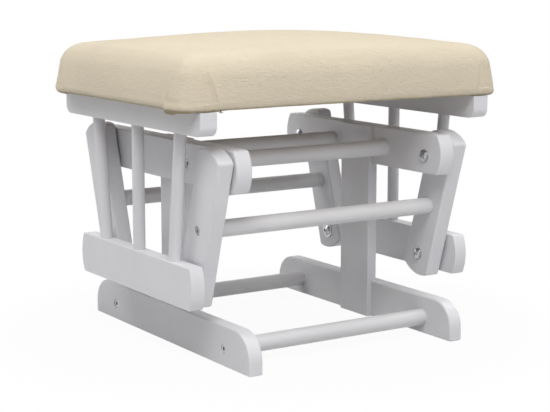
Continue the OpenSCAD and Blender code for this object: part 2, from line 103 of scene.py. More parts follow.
# %% [markdown]
# ## Floor, background and light
#
# A catalogue photo has a white ground that the eye does not notice. Turning the lamps up until
# the floor clips would burn out the white paint too. So the ground is made white for the camera
# and for mirrors only, with the Light Path node, and still takes part of its brightness from the
# light, which keeps a soft shadow under the rails. The lamps stay at a level at which a colour
# renders about as it is written.

# %% Helpers for node trees
WHITE = (1, 1, 1)


def feed(tree, socket, value):
    """Gives an input its link from another socket, its number, or its colour of three numbers."""
    if isinstance(value, bpy.types.NodeSocket):
        tree.links.new(value, socket)
    elif socket.type == "RGBA":
        socket.default_value = (*value, 1)
    else:
        socket.default_value = value


def node_of(tree, kind, inputs=None, **settings):
    """A new node of this kind, with its settings, and a value or a link in each input named."""
    made = tree.nodes.new(kind)
    for key, value in settings.items():
        setattr(made, key, value)
    for key, value in (inputs or {}).items():
        feed(tree, made.inputs[key], value)
    return made


def new_tree(owner):
    """The empty node tree of a material or a world."""
    owner.use_nodes = True
    owner.node_tree.nodes.clear()
    return owner.node_tree


def place_in(tree):
    """The Object coordinates: where a point of the surface is, in metres."""
    return node_of(tree, "ShaderNodeTexCoord").outputs["Object"]


def math_node(tree, operation, first, second=None, clamp=False):
    """The result of a Math node. Its inputs are sockets to link, or plain numbers."""
    inputs = {0: first} if second is None else {0: first, 1: second}
    return node_of(tree, "ShaderNodeMath", inputs, operation=operation, use_clamp=clamp).outputs[0]


def mapped(tree, value, low, high, to_low=0.0, to_high=1.0, curve="LINEAR"):
    """A value that goes from to_low to to_high, while the one put in goes from low to high."""
    made = node_of(tree, "ShaderNodeMapRange", {
        "Value": value, "From Min": low, "From Max": high, "To Min": to_low, "To Max": to_high},
        interpolation_type=curve)
    return made.outputs["Result"]


def end_in_mix(tree, output, share, first, second):
    """Ends a tree in a mix of two shaders, the second one by this share."""
    inputs = {0: share, 1: first.outputs[0], 2: second.outputs[0]}
    mix = node_of(tree, "ShaderNodeMixShader", inputs)
    node_of(tree, output, {"Surface": mix.outputs[0]})


# %% Make the floor and the world
FLOOR_HALF = 6.0
FLOOR_Z = -0.3 * MM
FLOOR_ALBEDO = 0.65
NEAR_WHITE_SHARE = 0.95
SHADOW_RADIUS = 0.26
FADE_WIDTH = 0.22
WORLD_LEVEL = 0.02


def seen_directly(tree):
    """1 for the camera, mirrors and glass, 0 for the light that falls on other things."""
    path = node_of(tree, "ShaderNodeLightPath").outputs
    seen = math_node(tree, "MAXIMUM", path["Is Camera Ray"], path["Is Glossy Ray"])
    return math_node(tree, "MAXIMUM", seen, path["Is Transmission Ray"])


def make_floor():
    """A floor that is lit under the stool, and turns into plain white further out."""
    mesh = bpy.data.meshes.new("floor")
    corners = [(x * FLOOR_HALF, y * FLOOR_HALF, FLOOR_Z)
               for x, y in ((-1, -1), (1, -1), (1, 1), (-1, 1))]
    mesh.from_pydata(corners, [], [(0, 1, 2, 3)])
    floor = new_object("floor", mesh)
    material = bpy.data.materials.new("studio floor")
    tree = new_tree(material)
    away = node_of(tree, "ShaderNodeVectorMath", {0: place_in(tree)}, operation="LENGTH")
    fade = mapped(tree, away.outputs["Value"], SHADOW_RADIUS, SHADOW_RADIUS + FADE_WIDTH,
                  NEAR_WHITE_SHARE, 1.0, "SMOOTHSTEP")
    share = math_node(tree, "MULTIPLY", fade, seen_directly(tree))
    lit = node_of(tree, "ShaderNodeBsdfDiffuse", {"Color": (FLOOR_ALBEDO,) * 3})
    white = node_of(tree, "ShaderNodeEmission", {"Color": WHITE, "Strength": 1.0})
    end_in_mix(tree, "ShaderNodeOutputMaterial", share, lit, white)
    mesh.materials.append(material)
    return floor


def make_world():
    """A dim room for the light on the stool, and a white one for the camera."""
    world = bpy.data.worlds.new("studio")
    bpy.context.scene.world = world
    tree = new_tree(world)
    room = node_of(tree, "ShaderNodeBackground", {"Color": WHITE, "Strength": WORLD_LEVEL})
    white = node_of(tree, "ShaderNodeBackground", {"Color": WHITE, "Strength": 1.0})
    end_in_mix(tree, "ShaderNodeOutputWorld", seen_directly(tree), room, white)
    return world


print("stage:", make_floor().name, "and world", make_world().name)

# %% Hang the lamps
LAMP_AIM = Vector((0.0, 0.0, 0.2))
# Each lamp: where it hangs, the side of its square in metres, its power in watts
LAMPS = {
    "key": ((-1.0, -1.4, 2.2), 1.2, 34.5),
    "right": ((1.3, -0.2, 2.2), 1.2, 20.5),
    "left": ((-1.5, 0.0, 2.0), 1.2, 7.0),
    "back_left": ((-1.2, 1.2, 2.0), 1.2, 15.0),
    "low_back": ((-1.8, 1.4, 0.9), 1.2, 5.0),
    "front": ((0.0, -2.3, 1.3), 1.4, 11.5),
    "front_right": ((1.5, -1.8, 1.4), 1.2, 5.5),
}


def hang_lamp(name, place, side, watts):
    """A square soft box that faces the middle of the stool."""
    lamp = new_object(name, bpy.data.lights.new(name, "AREA"))
    lamp.data.shape = "SQUARE"
    lamp.data.size = side
    lamp.data.energy = watts
    lamp.location = place
    lamp.rotation_mode = "QUATERNION"
    lamp.rotation_quaternion = (LAMP_AIM - Vector(place)).to_track_quat("-Z", "Y")


for name, settings in LAMPS.items():
    hang_lamp(name, *settings)
bpy.context.scene.view_settings.view_transform = "Standard"
print("lamps:", ", ".join(LAMPS))

# %% [markdown]
# ## Effects that several finishes share
#
# Wood grain, fine scratches and slow changes of tone turn up in more than one material, so each
# is a node group built once. A group has named inputs, and puts out only values that change over
# the surface. The tone and the scratches work from Object coordinates, and so does what is put in
# the grain's Vector: the pieces lie where they really are, so the pattern has its real scale, and
# no unwrapping is needed.

# %% Helpers for groups and noise
def new_group(name, inputs, outputs):
    """A shader node group with inputs (name, kind, value) and outputs by name, all plain values."""
    group = bpy.data.node_groups.new(name, "ShaderNodeTree")
    kinds = {"float": "NodeSocketFloat", "vector": "NodeSocketVector"}
    for label, kind, value in inputs:
        socket = group.interface.new_socket(label, in_out="INPUT", socket_type=kinds[kind])
        socket.default_value = value
    for label in outputs:
        group.interface.new_socket(label, in_out="OUTPUT", socket_type=kinds["float"])
    given = node_of(group, "NodeGroupInput").outputs
    return group, given, node_of(group, "NodeGroupOutput").inputs


def noise_in(tree, vector, scale, detail, roughness=0.55):
    """The value of a Noise texture at this vector. The scale is a number or a socket."""
    made = node_of(tree, "ShaderNodeTexNoise", {
        "Vector": vector, "Scale": scale, "Detail": detail, "Roughness": roughness})
    return made.outputs["Fac"]


def stretched(tree, vector, scale, turn=(0, 0, 0)):
    """A vector scaled and turned: a small scale draws the pattern out along that axis."""
    made = node_of(tree, "ShaderNodeMapping", {"Vector": vector, "Scale": scale, "Rotation": turn})
    return made.outputs["Vector"]


# %% Build the shared groups
def build_tone_group():
    """Slow changes of tone, as a factor near 1."""
    group, given, out = new_group(
        "tone drift", [("Size", "float", 18.0), ("Low", "float", 0.95), ("High", "float", 1.03)],
        ["Factor"])
    value = noise_in(group, place_in(group), given["Size"], 3.0)
    feed(group, out["Factor"], mapped(group, value, 0.3, 0.7, given["Low"], given["High"]))
    return group


def build_grain_group():
    """Wood grain along Z of its Vector: a streaky height, a mask of the pores, and wide bands."""
    group, given, out = new_group(
        "wood grain", [("Vector", "vector", (0, 0, 0)), ("Fineness", "float", 260.0)],
        ["Height", "Pores", "Bands"])
    along = stretched(group, given["Vector"], (1, 1, 0.035))
    finer = math_node(group, "MULTIPLY", given["Fineness"], 5.0)
    wider = math_node(group, "MULTIPLY", given["Fineness"], 0.22)
    pores = noise_in(group, along, finer, 2.0, 0.5)
    feed(group, out["Height"], noise_in(group, along, given["Fineness"], 4.0, 0.6))
    feed(group, out["Pores"], mapped(group, pores, 0.58, 0.72))
    feed(group, out["Bands"], noise_in(group, along, wider, 2.0, 0.4))
    return group


def build_scuff_group():
    """Fine scratches and handling marks: a height, and a roughness that is raised in patches."""
    group, given, out = new_group(
        "handling marks",
        [("Fineness", "float", 900.0), ("Smooth", "float", 0.3), ("Dull", "float", 0.42)],
        ["Height", "Roughness"])
    place = place_in(group)
    one_way = stretched(group, place, (0.08, 1, 1), (0, 0, 0.5))
    other_way = stretched(group, place, (1, 0.1, 0.6), (0.7, 0, 0))
    scratches = [noise_in(group, way, given["Fineness"], 3.0) for way in (one_way, other_way)]
    patches = noise_in(group, place, 70.0, 4.0, 0.6)
    feed(group, out["Height"], math_node(group, "MINIMUM", *scratches))
    rough = mapped(group, patches, 0.35, 0.68, given["Smooth"], given["Dull"])
    feed(group, out["Roughness"], rough)
    return group


TONE = build_tone_group()
GRAIN = build_grain_group()
SCUFFS = build_scuff_group()
print("groups:", TONE.name, GRAIN.name, SCUFFS.name)

# %% [markdown]
# ## Finishes
#
# The Principled shader stays in each material, with its constants on its own sockets. Only what
# changes over the surface is linked: colour, roughness and the heights that go through Bump
# nodes.

# %% Helpers for finishes
def group_in(tree, group, **values):
    """The outputs of a shared group, placed in this tree with its own values."""
    return node_of(tree, "ShaderNodeGroup", values, node_tree=group).outputs


def finish_material(name, constants):
    """A material with a Principled shader, with its tree and the shader's inputs."""
    material = bpy.data.materials.new(name)
    tree = new_tree(material)
    shader = node_of(tree, "ShaderNodeBsdfPrincipled", constants)
    node_of(tree, "ShaderNodeOutputMaterial", {"Surface": shader.outputs[0]})
    return material, tree, shader.inputs


def toned(tree, colour, factor):
    """A colour, constant or varying, times a varying factor."""
    made = node_of(tree, "ShaderNodeMix", {"Factor": 1.0, "A": colour, "B": factor},
                   data_type="RGBA", blend_type="MULTIPLY")
    return made.outputs["Result"]


def blended(tree, factor, first, second):
    """From the first colour to the second by a varying factor."""
    made = node_of(tree, "ShaderNodeMix", {"Factor": factor, "A": first, "B": second},
                   data_type="RGBA")
    return made.outputs["Result"]


def bumped(tree, height, depth, after=None):
    """The normal of a height that spans this depth in metres. after is the normal it builds on."""
    made = node_of(tree, "ShaderNodeBump", {"Height": height, "Strength": 1.0, "Distance": depth})
    if after is not None:
        feed(tree, made.inputs["Normal"], after)
    return made.outputs["Normal"]


# %% [markdown]
# ### Satin white paint on hardwood
#
# A sprayed paint film is not quite flat. The grain shows through it as long shallow streaks, the
# spray leaves a fine orange peel, and hands polish it in patches. The grain follows each board,
# so there is one material for each direction that the boards run in.

# %% Satin paint
PAINT = (0.774, 0.769, 0.793)
PAINT_WORN = (0.727, 0.718, 0.722)
GRAIN_DEPTH, PEEL_DEPTH, SCRATCH_DEPTH = 0.09 * MM, 0.03 * MM, 0.02 * MM
PEEL_FINENESS = 650.0
ALONG_Z = (0, 0, 0)
ALONG_Y = (math.pi / 2, 0, 0)
ALONG_X = (0, math.pi / 2, 0)


def painted_wood(name, turn):
    """White paint over a grain that runs along Z once it is turned."""
    material, tree, shader = finish_material(name, {"Specular IOR Level": 0.5})
    place = place_in(tree)
    grain = group_in(tree, GRAIN, Vector=stretched(tree, place, (1, 1, 1), turn), Fineness=210.0)
    tone = group_in(tree, TONE, Size=14.0, Low=0.972, High=1.012)
    marks = group_in(tree, SCUFFS, Fineness=420.0, Smooth=0.36, Dull=0.47)
    pointed = node_of(tree, "ShaderNodeNewGeometry").outputs["Pointiness"]
    edge = mapped(tree, pointed, 0.535, 0.60)
    worn = math_node(tree, "MULTIPLY", edge, grain["Height"], clamp=True)
    colour = toned(tree, PAINT, tone["Factor"])
    feed(tree, shader["Base Color"], blended(tree, worn, colour, PAINT_WORN))
    feed(tree, shader["Roughness"], marks["Roughness"])
    normal = bumped(tree, grain["Height"], GRAIN_DEPTH)
    normal = bumped(tree, noise_in(tree, place, PEEL_FINENESS, 2.0), PEEL_DEPTH, normal)
    feed(tree, shader["Normal"], bumped(tree, marks["Height"], SCRATCH_DEPTH, normal))
    return material


PIVOT = Vector(frame["joints"][0]["pos_m"])
SEAT_PIVOT = Vector(frame["joints"][1]["pos_m"])
LINK_SPLAY = math.atan2(SEAT_PIVOT.y - PIVOT.y, PIVOT.z - SEAT_PIVOT.z)
WOOD = {
    "x": painted_wood("painted wood across", ALONG_X),
    "y": painted_wood("painted wood fore and aft", ALONG_Y),
    "z": painted_wood("painted wood upright", ALONG_Z),
    "front link": painted_wood("painted wood front link", (-LINK_SPLAY, 0, 0)),
    "rear link": painted_wood("painted wood rear link", (LINK_SPLAY, 0, 0)),
}
print("link splay:", round(math.degrees(LINK_SPLAY), 2), "degrees")

# %% [markdown]
# ### Metal, nylon and plywood
#
# Bolts and screws are zinc plated: a metal whose brightness changes in patches, with fine
# handling marks. The bushings and spacers are natural nylon, slightly milky. The board under the
# cushion is plywood, with its grain across the stool.

# %% Other hard finishes
ZINC = (0.50, 0.51, 0.53)
BRASS = (0.72, 0.52, 0.22)
NYLON = (0.80, 0.79, 0.74)
PLY_PALE, PLY_BAND, PLY_PORE = (0.54, 0.48, 0.41), (0.43, 0.37, 0.30), (0.29, 0.23, 0.17)
NYLON_MARK_DEPTH, PLY_GRAIN_DEPTH = 0.03 * MM, 0.2 * MM


def bright_metal(name, colour):
    """A turned or plated metal."""
    material, tree, shader = finish_material(name, {"Metallic": 1.0})
    tone = group_in(tree, TONE, Size=160.0, Low=0.86, High=1.06)
    marks = group_in(tree, SCUFFS, Fineness=1600.0, Smooth=0.2, Dull=0.36)
    feed(tree, shader["Base Color"], toned(tree, colour, tone["Factor"]))
    feed(tree, shader["Roughness"], marks["Roughness"])
    feed(tree, shader["Normal"], bumped(tree, marks["Height"], SCRATCH_DEPTH))
    return material


def nylon(name):
    """A pale moulded plastic that lets a little light in."""
    material, tree, shader = finish_material(
        name, {"Subsurface Weight": 0.2, "Subsurface Scale": 2 * MM})
    tone = group_in(tree, TONE, Size=90.0, Low=0.95, High=1.02)
    marks = group_in(tree, SCUFFS, Fineness=1300.0, Smooth=0.38, Dull=0.5)
    feed(tree, shader["Base Color"], toned(tree, NYLON, tone["Factor"]))
    feed(tree, shader["Roughness"], marks["Roughness"])
    feed(tree, shader["Normal"], bumped(tree, marks["Height"], NYLON_MARK_DEPTH))
    return material


def plywood(name):
    """Bare veneer: wide bands of tone with dark pores in them."""
    material, tree, shader = finish_material(name, {"Roughness": 0.72})
    across = stretched(tree, place_in(tree), (1, 1, 1), ALONG_X)
    grain = group_in(tree, GRAIN, Vector=across, Fineness=180.0)
    tone = group_in(tree, TONE, Size=12.0, Low=0.88, High=1.06)
    bands = blended(tree, grain["Bands"], PLY_PALE, PLY_BAND)
    veneer = blended(tree, grain["Pores"], bands, PLY_PORE)
    feed(tree, shader["Base Color"], toned(tree, veneer, tone["Factor"]))
    feed(tree, shader["Normal"], bumped(tree, grain["Height"], PLY_GRAIN_DEPTH))
    return material


FINISH = {
    "steel": bright_metal("zinc plated steel", ZINC),
    "brass": bright_metal("turned brass", BRASS),
    "nylon": nylon("natural nylon"),
    "plywood": plywood("plywood"),
}
print("finishes:", ", ".join(m.name for m in [*WOOD.values(), *FINISH.values()]))

# %% [markdown]
# ### Cream short-nap cloth and foam
#
# The cloth is a brushed microfibre. From close by it is a field of short fibres that lean a
# little to and fro, so it has pale and dark specks about a millimetre high, drawn out sideways,
# over patches as large as a thumb where the nap lies the other way. The nap stands up on the end
# faces and lies flatter on the side faces and on top. Seen at a flat angle the fibre tips light
# up, which the Principled shader's sheen does. Where the cloth turns under at the hem it is
# darker: partly rubbed, and partly painted shade of the roll under the edge.
#
# The foam inside never shows. It still gets its own finish: pale yellow, with open cells, and
# painted shade in the hollow of each cell.

# %% Cloth
CLOTH_PALE = (0.751, 0.661, 0.514)
CLOTH_DARK = (0.732, 0.641, 0.494)
# The hem's colour: partly rubbed cloth, partly painted shade of the roll under the edge
CLOTH_HEM_WORN_AND_SHADE = (0.33, 0.28, 0.17)
HEM_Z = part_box("cushion_cover")[0].z
# The darker band at the hem, partly rubbed cloth and partly painted shade: it starts this far
# above the hem, is full this far above it, and is this strong
HEM_DARK_FROM, HEM_DARK_FULL, HEM_DARK_MOST = 5.5 * MM, 1.5 * MM, 0.85
HEM_DARK_RAGGED = 2 * MM
SPECK_SHARE = 0.7
RUMPLE_DEPTH, SPECK_DEPTH, FIBRE_DEPTH = 1.2 * MM, 1.6 * MM, 0.2 * MM
FLATTER_ON_SIDES, FLATTER_ON_TOP = 0.60, 0.45


def rubbed_and_shaded_band(tree, place, patches):
    """Painted shade and wear at the hem: 1 at the hem and 0 above it, with a ragged upper edge."""
    height = node_of(tree, "ShaderNodeSeparateXYZ", {0: place}).outputs["Z"]
    ragged = math_node(tree, "ADD", height, math_node(tree, "MULTIPLY", patches, HEM_DARK_RAGGED))
    return mapped(tree, ragged, HEM_Z + HEM_DARK_FROM, HEM_Z + HEM_DARK_FULL,
                  0.0, HEM_DARK_MOST, "SMOOTHSTEP")


def nap_raised(tree):
    """How far the nap stands up: 1 where the cloth faces the ends, less at the sides and on top."""
    normal = node_of(tree, "ShaderNodeTexCoord").outputs["Normal"]
    facing = node_of(tree, "ShaderNodeSeparateXYZ", {0: normal}).outputs
    sideways, upwards = [math_node(tree, "ABSOLUTE", facing[axis]) for axis in "XZ"]
    sideways = math_node(tree, "MULTIPLY", sideways, -FLATTER_ON_SIDES)
    upwards = math_node(tree, "MULTIPLY", upwards, -FLATTER_ON_TOP)
    return math_node(tree, "ADD", math_node(tree, "ADD", sideways, upwards), 1.0)


def short_nap_cloth(name):
    """The cushion's cloth."""
    material, tree, shader = finish_material(name, {
        "Roughness": 0.92, "Specular IOR Level": 0.2,
        "Sheen Weight": 0.15, "Sheen Roughness": 0.45, "Sheen Tint": (1.0, 0.93, 0.80)})
    place = place_in(tree)
    specks = noise_in(tree, stretched(tree, place, (0.17, 0.10, 1.0)), 900.0, 2.0, 0.6)
    patches = noise_in(tree, place, 95.0, 4.0, 0.6)
    rumples = noise_in(tree, stretched(tree, place, (0.5, 0.5, 1.0)), 210.0, 3.0, 0.6)
    fibres = noise_in(tree, stretched(tree, place, (0.5, 0.5, 1.2)), 1900.0, 2.0, 0.6)
    nap = math_node(tree, "ADD", math_node(tree, "MULTIPLY", specks, SPECK_SHARE),
                    math_node(tree, "MULTIPLY", patches, 1 - SPECK_SHARE))
    colour = blended(tree, mapped(tree, nap, 0.36, 0.60), CLOTH_DARK, CLOTH_PALE)
    # Darker at the hem: partly rubbed cloth, partly painted shade of the roll under the edge
    colour = blended(tree, rubbed_and_shaded_band(tree, place, patches), colour, CLOTH_HEM_WORN_AND_SHADE)
    tone = group_in(tree, TONE, Size=9.0, Low=0.97, High=1.02)
    feed(tree, shader["Base Color"], toned(tree, colour, tone["Factor"]))
    raised = nap_raised(tree)
    normal = bumped(tree, math_node(tree, "MULTIPLY", rumples, raised), RUMPLE_DEPTH)
    normal = bumped(tree, math_node(tree, "MULTIPLY", specks, raised), SPECK_DEPTH, normal)
    feed(tree, shader["Normal"], bumped(tree, fibres, FIBRE_DEPTH, normal))
    return material


CLOTH = short_nap_cloth("cream short-nap cloth")
print("cloth:", CLOTH.name)

# %% Thread and foam
THREAD_BROWN = (0.17, 0.15, 0.08)
# The foam's colour on its cell walls, and the darker colour painted in each hollow as shade
FOAM_WALL, FOAM_HOLLOW_SHADE = (0.82, 0.74, 0.44), (0.42, 0.34, 0.15)
THREAD_DEPTH, FOAM_CELL_DEPTH = 0.08 * MM, 0.6 * MM


def rubbed_thread(name):
    """Ends of worn thread, each with its own tone."""
    material, tree, shader = finish_material(name, {"Roughness": 0.9})
    tone = group_in(tree, TONE, Size=420.0, Low=0.6, High=1.25)
    feed(tree, shader["Base Color"], toned(tree, THREAD_BROWN, tone["Factor"]))
    fibres = noise_in(tree, place_in(tree), 5200.0, 2.0, 0.6)
    feed(tree, shader["Normal"], bumped(tree, fibres, THREAD_DEPTH))
    return material


def open_cell_foam(name):
    """Foam with painted shade in the hollow of each cell."""
    material, tree, shader = finish_material(
        name, {"Roughness": 0.95, "Subsurface Weight": 0.3, "Subsurface Scale": 4 * MM})
    cells = node_of(tree, "ShaderNodeTexVoronoi", {"Vector": place_in(tree), "Scale": 700.0})
    wall = mapped(tree, cells.outputs["Distance"], 0.1, 0.6)
    # Painted shade: each cell's hollow is darker than its walls
    feed(tree, shader["Base Color"], blended(tree, wall, FOAM_HOLLOW_SHADE, FOAM_WALL))
    feed(tree, shader["Normal"], bumped(tree, wall, FOAM_CELL_DEPTH))
    return material


THREAD = rubbed_thread("rubbed thread ends")
FINISH["foam"] = open_cell_foam("open-cell foam")
print("thread and foam:", THREAD.name, "and", FINISH["foam"].name)

# %% [markdown]
# ## Boards with eased edges
#
# No wooden board has a knife edge: it is eased with a router and sandpaper before it is painted,
# and that small radius is what catches the light in the photograph. The frame's boards have their
# true outlines, holes and housings but sharp edges. A Bevel modifier on a copy of the board's own
# mesh rounds them and keeps every hole where it is. Bevel weights choose what is rounded: full on
# the outline, a trace around the screw holes, and none in the housings, where the joint has to
# stay tight.

# %% Helpers for meshes and edges
WELD = 1e-6


def edge_loops(edges):
    """Connected groups of edges."""
    left, groups = set(edges), []
    while left:
        group, todo = [], [left.pop()]
        while todo:
            edge = todo.pop()
            group.append(edge)
            for vertex in edge.verts:
                near = [e for e in vertex.link_edges if e in left]
                left.difference_update(near)
                todo.extend(near)
        groups.append(group)
    return groups


def extent(edges):
    """The length of the diagonal of the box around these edges."""
    points = np.array([v.co for e in edges for v in e.verts])
    return float(np.linalg.norm(points.max(0) - points.min(0)))


def evaluated_mesh(piece):
    """The mesh that a piece's modifiers, or a curve's thickness, make of it."""
    graph = bpy.context.evaluated_depsgraph_get()
    return bpy.data.meshes.new_from_object(piece.evaluated_get(graph))


def baked_mesh(piece):
    """Replaces a piece's mesh by what its modifiers make of it."""
    done = evaluated_mesh(piece)
    piece.modifiers.clear()
    piece.data = done


# %% Choose the edges to ease
SMALL_LOOP = 0.035
HOLE_SHARE = 0.13
SHARP_ANGLE = math.radians(28)
FLAT_ANGLE = math.radians(0.5)
HOUSING_SLACK = 0.6 * MM


def in_housing(middle):
    """True in the slot that takes the upright."""
    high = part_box("right_upright")[1]
    inside = abs(middle.y) < high.y + HOUSING_SLACK
    return inside and abs(middle.x) < high.x + HOUSING_SLACK


def weigh_edges(mesh, stays_sharp):
    """Joins a board's flat faces, and gives each of its sharp edges a bevel weight."""
    bm = bmesh.new()
    bm.from_mesh(mesh)
    bmesh.ops.remove_doubles(bm, verts=bm.verts, dist=WELD)
    bmesh.ops.dissolve_limit(bm, angle_limit=FLAT_ANGLE, verts=bm.verts, edges=bm.edges)
    weight = bm.edges.layers.float.new("bevel_weight_edge")
    sharp = [e for e in bm.edges if len(e.link_faces) == 2 and e.calc_face_angle() > SHARP_ANGLE]
    for group in edge_loops(sharp):
        share = HOLE_SHARE if extent(group) < SMALL_LOOP else 1.0
        for edge in group:
            middle = (edge.verts[0].co + edge.verts[1].co) / 2
            edge[weight] = 0.0 if stays_sharp and stays_sharp(middle) else share
    bm.to_mesh(mesh)
    bm.free()


# %% Ease the boards
BEVEL_STEPS = 4
LINK_EASE = 2.6 * MM


def eased_board(node, ease, finish, stays_sharp=None):
    """A painted piece in place of a board's node: the same board with its edges rounded."""
    mesh = frame["nodes"][node].data.copy()
    mesh.materials.clear()
    piece = new_object(node + "_wood", mesh)
    weigh_edges(mesh, stays_sharp)
    bevel = piece.modifiers.new("ease", "BEVEL")
    bevel.limit_method = "WEIGHT"
    bevel.width = ease
    bevel.segments = BEVEL_STEPS
    bevel.miter_outer = "MITER_ARC"
    bevel.loop_slide = False
    baked_mesh(piece)
    piece.data.shade_smooth()
    piece.data.set_sharp_from_angle(angle=SHARP_ANGLE)
    normals = piece.modifiers.new("flat faces", "WEIGHTED_NORMAL")
    normals.keep_sharp = True
    baked_mesh(piece)
    piece.data.materials.append(finish)
    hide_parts(node)
    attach(piece, BODY_OF[node])
    return piece


# Each kind of board: how far its edges are eased, the way of its grain, where it stays sharp
BOARDS = {
    "base_rail": (2.6 * MM, "y", in_housing),
    "hanger_arm": (2.6 * MM, "y", in_housing),
    "upright": (1.8 * MM, "z", None),
    "lower_rail": (2.4 * MM, "y", None),
    "top_rail": (2.4 * MM, "y", None),
}
boards = []
for side in ("left", "right"):
    for kind, (ease, grain, rule) in BOARDS.items():
        boards.append(eased_board(f"{side}_{kind}", ease, WOOD[grain], rule))
    for end in ("front", "rear"):
        boards.append(eased_board(f"{end}_{side}_link", LINK_EASE, WOOD[f"{end} link"]))
print("boards:", len(boards), "faces:", sum(len(b.data.polygons) for b in boards))

# %% [markdown]
# ## The cushion
#
# The pad is a slab of foam on a plywood board, with a piece of short-nap cloth drawn tight over
# it and stapled underneath. Cloth that is pulled over a block stays smooth on top, bulges a
# little between the staples, and has too much material at the four corners, where it is folded
# into a flap.
#
# The cushion is made in the same order. The frame's cushion gives the size and the crown. It is
# remeshed evenly, drawn in, held along its staples and blown up with Blender's Cloth. Only the
# fine unevenness that this leaves is kept, at most about a millimetre of it, and laid back on the
# form, so the size stays that of the frame. Modelling the bulges by hand would also work, but
# they come out too regular.

# %% Take the outer form of the cushion
COVER_LOW, COVER_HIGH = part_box("cushion_cover")
CUSHION_MIDDLE = (COVER_LOW + COVER_HIGH) / 2
HALF_X = (COVER_HIGH.x - COVER_LOW.x) / 2
HALF_Y = (COVER_HIGH.y - COVER_LOW.y) / 2


def outer_form(node):
    """A closed mesh of the outer side of a thin skin, with its mouth closed."""
    mesh = frame["nodes"][node].data.copy()
    mesh.materials.clear()
    bm = bmesh.new()
    bm.from_mesh(mesh)
    bmesh.ops.remove_doubles(bm, verts=bm.verts, dist=WELD)
    inner = [f for f in bm.faces if f.normal.dot(f.calc_center_median() - CUSHION_MIDDLE) <= 0]
    bmesh.ops.delete(bm, geom=inner, context="FACES")
    rim = [e for e in bm.edges if e.is_boundary]
    bmesh.ops.holes_fill(bm, edges=rim, sides=len(rim) + 1)
    bmesh.ops.recalc_face_normals(bm, faces=bm.faces)
    bm.to_mesh(mesh)
    bm.free()
    return mesh


cushion = new_object("cushion", outer_form("cushion_cover"))
form = BVHTree.FromObject(cushion, bpy.context.evaluated_depsgraph_get())
print("cushion form, faces:", len(cushion.data.polygons))


# %% Helpers for points
def points_of(mesh):
    """The places of a mesh's points, as rows of an array."""
    flat = np.empty(len(mesh.vertices) * 3)
    mesh.vertices.foreach_get("co", flat)
    return flat.reshape(-1, 3)


def set_points(mesh, points):
    """Moves a mesh's points to these places."""
    mesh.vertices.foreach_set("co", np.ascontiguousarray(points).ravel())
    mesh.update()


def normals_of(mesh):
    """The directions that a mesh faces at its points."""
    flat = np.empty(len(mesh.vertices) * 3)
    mesh.vertex_normals.foreach_get("vector", flat)
    return flat.reshape(-1, 3)


def drift(mesh, values, share, rounds=1):
    """Moves each point's value towards the mean of its neighbours, by this share, several times."""
    pairs = np.empty(len(mesh.edges) * 2, dtype=np.int32)
    mesh.edges.foreach_get("vertices", pairs)
    first, second = pairs.reshape(-1, 2).T
    size = len(values)
    count = np.bincount(np.concatenate((first, second)), minlength=size)
    for _ in range(rounds):
        near = np.bincount(first, values[second], size) + np.bincount(second, values[first], size)
        values = values + share * (near / count - values)
    return values


# %% Remesh the form evenly
VOXEL = 5 * MM
SMOOTH_ROUNDS = 8
SHRINK_SHARE, REGROW_SHARE = 0.5, -0.53


def smooth_on(mesh, form):
    """Lays the points on the form and takes its facets off, by steps that shrink and regrow it."""
    points = np.array([form.find_nearest(Vector(point))[0] for point in points_of(mesh)])
    columns = []
    for values in points.T:
        for _ in range(SMOOTH_ROUNDS):
            values = drift(mesh, drift(mesh, values, SHRINK_SHARE), REGROW_SHARE)
        columns.append(values)
    set_points(mesh, np.stack(columns, axis=1))


even = cushion.modifiers.new("even quads", "REMESH")
even.mode = "VOXEL"
even.voxel_size = VOXEL
baked_mesh(cushion)
smooth_on(cushion.data, form)
FORM = points_of(cushion.data)
FORM_NORMALS = normals_of(cushion.data)
print("cushion form:", len(FORM), "points,", [round(v, 3) for v in (HALF_X * 2, HALF_Y * 2)])

# %% Find where the cloth is held
STAPLE_PITCH = 36 * MM
STAPLE_INSET = 14 * MM
STAPLE_CORNER = 32 * MM
STAPLE_REACH = 6 * MM
# The hold ends at this many times the reach, and is full up to one reach before that
STAPLE_GRIP = 1.6
BOARD_INSET, BOARD_FADE = 18 * MM, 6 * MM
UNDERSIDE_DEPTH = 4 * MM


def staple_places():
    """Points along the hem, in from its edge."""
    half_x, half_y = HALF_X - STAPLE_INSET, HALF_Y - STAPLE_INSET
    places = []
    for across, half, other in ((True, half_x, half_y), (False, half_y, half_x)):
        row = half - STAPLE_CORNER
        count = round(2 * row / STAPLE_PITCH)
        for step in range(count + 1):
            along = -row + step * 2 * row / count
            for side in (-1, 1):
                x, y = (along, side * other) if across else (side * other, along)
                places.append((CUSHION_MIDDLE.x + x, CUSHION_MIDDLE.y + y))
    return places


def inset_of(points):
    """How far in from the nearest face of the cushion each point lies, seen from above."""
    return np.minimum(HALF_X - abs(points[:, 0] - CUSHION_MIDDLE.x),
                      HALF_Y - abs(points[:, 1] - CUSHION_MIDDLE.y))


def held_by_staples(points):
    """1 at a staple and under the board, 0 where the cloth is free."""
    stapled = np.zeros(len(points))
    for x, y in staple_places():
        away = np.hypot(points[:, 0] - x, points[:, 1] - y)
        stapled = np.maximum(stapled, np.clip(STAPLE_GRIP - away / STAPLE_REACH, 0, 1))
    under_board = np.clip((inset_of(points) - BOARD_INSET) / BOARD_FADE, 0, 1)
    return np.maximum(stapled, under_board) * (points[:, 2] < HEM_Z + UNDERSIDE_DEPTH)


print("staples:", len(staple_places()))

# %% Blow the cloth up over the foam
DRAWN_IN = 5 * MM
EVENING_SHARE, EVENING_ROUNDS = 0.5, 60
KEPT_SHARE, KEPT_MOST = 0.3, 1.2 * MM
LAST_FRAME = 20
CLOTH_SETTINGS = {
    "quality": 6, "mass": 0.25, "tension_stiffness": 40, "compression_stiffness": 40,
    "shear_stiffness": 40, "bending_stiffness": 1.5, "vertex_group_mass": "held",
    "use_pressure": True, "uniform_pressure_force": 1.2,
}


